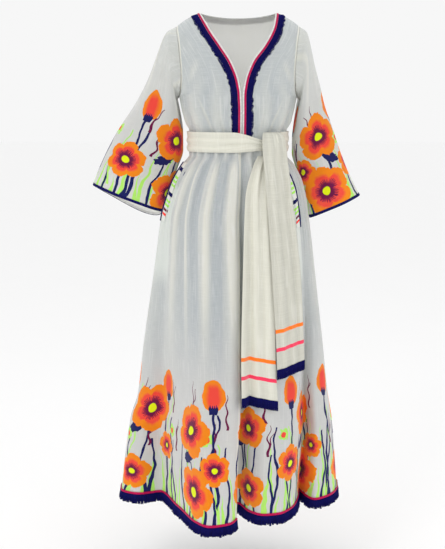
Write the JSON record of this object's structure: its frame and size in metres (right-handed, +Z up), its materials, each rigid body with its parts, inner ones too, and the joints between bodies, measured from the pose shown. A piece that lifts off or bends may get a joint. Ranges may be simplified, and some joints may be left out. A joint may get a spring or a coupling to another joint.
{
  "type": "long dress",
  "caption": "Ankle-length ivory cotton dress with open V neck, bell sleeves, gathered skirt, side pockets, tied sash, navy fringe trims and a flowered hem.",
  "frame": {"origin": "on the shoulder line, midway between the two neck points, where the wearer's shoulders carry the dress", "axes": "+Z up, the front of the dress faces -Y, the wearer's left is +X"},
  "size_m": [0.7547, 0.5795, 1.375],
  "materials": {
    "ivory_voile": "fine semi-sheer plain-weave cotton voile, matte",
    "ivory_sash_cotton": "matte cotton",
    "white_edging": "matte cotton bias strip",
    "magenta_piping": "matte cotton piping",
    "navy_fringe": "matte cotton brush fringe and binding"
  },
  "bodies": {
    "root": {"bodice_front_left": "ivory_voile", "bodice_front_right": "ivory_voile", "bodice_back": "ivory_voile", "neck_edging": "white_edging", "neck_piping": "magenta_piping", "neck_fringe_band": "navy_fringe", "sleeve_left": "ivory_voile", "sleeve_right": "ivory_voile", "cuff_binding_left": "navy_fringe", "cuff_binding_right": "navy_fringe", "skirt_front_left": "ivory_voile", "skirt_front_right": "ivory_voile", "skirt_back": "ivory_voile", "hem_piping": "magenta_piping", "hem_fringe": "navy_fringe", "pocket_binding_left": "navy_fringe", "pocket_binding_right": "navy_fringe", "pocket_facing_left": "ivory_voile", "pocket_facing_right": "ivory_voile", "pocket_bag_left": "ivory_voile", "pocket_bag_right": "ivory_voile", "sash_band": "ivory_sash_cotton", "sash_knot": "ivory_sash_cotton", "sash_tail_front": "ivory_sash_cotton", "sash_tail_back": "ivory_sash_cotton", "tail_fringe_front": "navy_fringe", "tail_fringe_back": "navy_fringe"}
  },
  "joints": []
}
